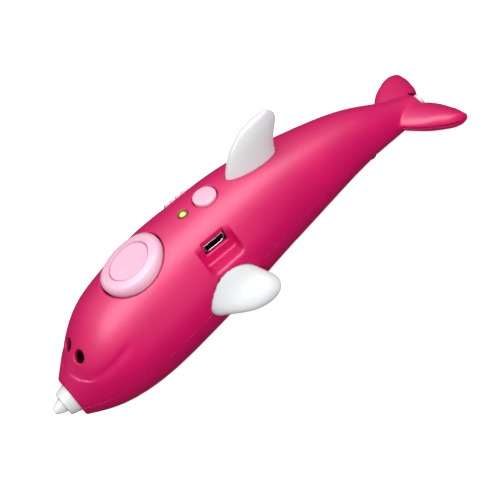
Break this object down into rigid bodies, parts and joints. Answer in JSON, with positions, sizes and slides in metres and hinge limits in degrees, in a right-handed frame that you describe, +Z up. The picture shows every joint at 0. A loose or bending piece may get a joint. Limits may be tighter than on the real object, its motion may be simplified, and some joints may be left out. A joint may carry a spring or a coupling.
{
  "type": "three d pen",
  "caption": "Dolphin-shaped pen for drawing with melted filament, with a dished feed button, fins, tail flukes, a nozzle at the snout and a charging recess on its side.",
  "frame": {"origin": "middle of the footprint, on the table the pen rests on with its belly and tail flukes", "axes": "+X from the nozzle towards the tail flukes, +Y towards the right side of the dolphin, +Z up through the dorsal fin"},
  "size_m": [0.1566, 0.0542, 0.0471],
  "materials": {
    "pink_shell": "satin moulded",
    "white_plastic": "satin gloss",
    "pale_pink_plastic": "satin",
    "green_lens": "translucent",
    "steel": "brushed",
    "brass": "machined",
    "ceramic": "smooth",
    "black_plastic": "moulded",
    "rubber_roller": "matte",
    "circuit_board": "solder mask",
    "cell_wrap": "shrink wrap",
    "grey_nylon": "moulded",
    "red_wire": "wire insulation",
    "clear_tube": "translucent tube"
  },
  "bodies": {
    "root": {"upper_shell": "pink_shell", "lower_shell": "pink_shell", "dorsal_fin": "white_plastic", "left_flipper": "white_plastic", "right_flipper": "white_plastic", "nozzle_collar": "white_plastic", "inlet_grommet": "white_plastic", "led_chip": "white_plastic", "led_lens": "green_lens", "slide_switch_body": "steel", "hot_end_tube": "steel", "idler_pivot_pin": "steel", "idler_spring": "steel", "motor_can": "steel", "usb_shell": "steel", "board_screw_1": "steel", "board_screw_2": "steel", "case_screw_1": "steel", "case_screw_2": "steel", "case_screw_3": "steel", "case_screw_4": "steel", "case_screw_5": "steel", "case_screw_6": "steel", "heater_sleeve": "brass", "gearbox": "brass", "nozzle_tip": "ceramic", "thermistor_bead": "black_plastic", "motor_end_cap": "black_plastic", "battery_cradle": "black_plastic", "feed_tact_switch": "black_plastic", "retract_tact_switch": "black_plastic", "usb_tongue": "black_plastic", "controller_chip": "black_plastic", "charge_chip": "black_plastic", "power_coil": "black_plastic", "battery_lead_black": "black_plastic", "motor_lead_black": "black_plastic", "heater_lead_b": "black_plastic", "main_board": "circuit_board", "battery_cell": "cell_wrap", "hot_end_holder": "grey_nylon", "feed_frame": "grey_nylon", "battery_lead_red": "red_wire", "motor_lead_red": "red_wire", "heater_lead_a": "red_wire", "guide_tube": "clear_tube"},
    "feed_button": {"feed_button": "pale_pink_plastic"},
    "retract_button": {"retract_button": "pale_pink_plastic"},
    "speed_switch": {"speed_switch_knob": "pale_pink_plastic"},
    "drive": {"drive_gear": "brass", "output_shaft": "steel"},
    "feed_screw": {"feed_screw": "steel", "screw_gear": "brass"},
    "idler": {"idler_arm": "grey_nylon", "idler_axle": "steel"},
    "idler_roller": {"idler_roller": "rubber_roller"}
  },
  "joints": [
    {"name": "feed_button_press", "type": "slide", "parent": "root", "child": "feed_button", "axis": [0.082, 0, -0.9966], "range_m": [0, 0.0008], "stiffness_N_per_m": 400},
    {"name": "retract_button_press", "type": "slide", "parent": "root", "child": "retract_button", "axis": [-0.1235, 0, -0.9923], "range_m": [0, 0.0006], "stiffness_N_per_m": 400},
    {"name": "speed_switch_slide", "type": "slide", "parent": "root", "child": "speed_switch", "axis": [-0.996, 0, 0.0888], "range_m": [0, 0.0017]},
    {"name": "drive_spin", "type": "hinge", "parent": "root", "child": "drive", "pos_m": [-0.03227, 0, 0.01999], "axis": [0.996, 0, -0.0888], "continuous": true},
    {"name": "screw_spin", "type": "hinge", "parent": "root", "child": "feed_screw", "pos_m": [-0.0328, 0, 0.01402], "axis": [0.996, 0, -0.0888], "continuous": true},
    {"name": "idler_pivot", "type": "hinge", "parent": "root", "child": "idler", "pos_m": [-0.04771, 0, 0.00732], "axis": [0, 1, 0], "range_deg": [0, 3], "stiffness_Nm_per_rad": 0.05, "springref_deg": -5.73, "deforming": ["idler_spring"]},
    {"name": "roller_spin", "type": "hinge", "parent": "idler", "child": "idler_roller", "pos_m": [-0.04123, 0, 0.00674], "axis": [0, 1, 0], "continuous": true}
  ],
  "couplings": [
    {"joint": "screw_spin", "follows": "drive_spin", "ratio": -1.5},
    {"joint": "roller_spin", "follows": "drive_spin", "ratio": 0.14921}
  ]
}
